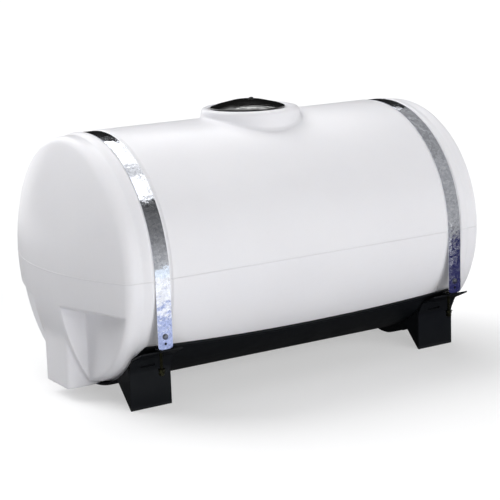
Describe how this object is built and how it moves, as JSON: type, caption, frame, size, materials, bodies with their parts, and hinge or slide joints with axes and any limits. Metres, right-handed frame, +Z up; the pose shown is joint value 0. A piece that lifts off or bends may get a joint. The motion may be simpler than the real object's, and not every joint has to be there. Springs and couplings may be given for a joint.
{
  "type": "horizontal applicator tank",
  "caption": "Horizontal moulded liquid tank with domed ends, fill collar with screw lid and drain sump, strapped by steel bands to a cradle on legs.",
  "frame": {"origin": "middle of the footprint on the floor, under the tank's centre", "axes": "+X along the tank away from the drain sump end, +Z up, -Y towards the front"},
  "size_m": [1.553, 0.826, 0.891],
  "materials": {
    "tank_plastic": "white translucent polyethylene, satin",
    "lid_plastic": "glossy black moulded plastic",
    "galvanised_steel": "spangled galvanised strip",
    "zinc_bolt": "bright zinc plated",
    "yellow_zinc": "yellow zinc plated",
    "black_paint": "semi-gloss black paint on sheet steel"
  },
  "bodies": {
    "root": {"barrel_upper": "tank_plastic", "barrel_lower": "tank_plastic", "left_end_cap": "tank_plastic", "right_end_cap": "tank_plastic", "drain_sump": "tank_plastic", "fill_collar": "tank_plastic", "lid_rim": "lid_plastic", "lid_boss": "lid_plastic", "left_band": "galvanised_steel", "right_band": "galvanised_steel", "band_bolts": "zinc_bolt", "tie_studs": "yellow_zinc", "stud_nuts": "yellow_zinc", "stud_washers": "yellow_zinc", "cradle_trough": "black_paint", "front_edge_rail": "black_paint", "back_edge_rail": "black_paint", "left_crossmember": "black_paint", "right_crossmember": "black_paint", "front_left_leg": "black_paint", "back_left_leg": "black_paint", "front_right_leg": "black_paint", "back_right_leg": "black_paint", "front_left_flange": "black_paint", "back_left_flange": "black_paint", "front_right_flange": "black_paint", "back_right_flange": "black_paint"}
  },
  "joints": []
}
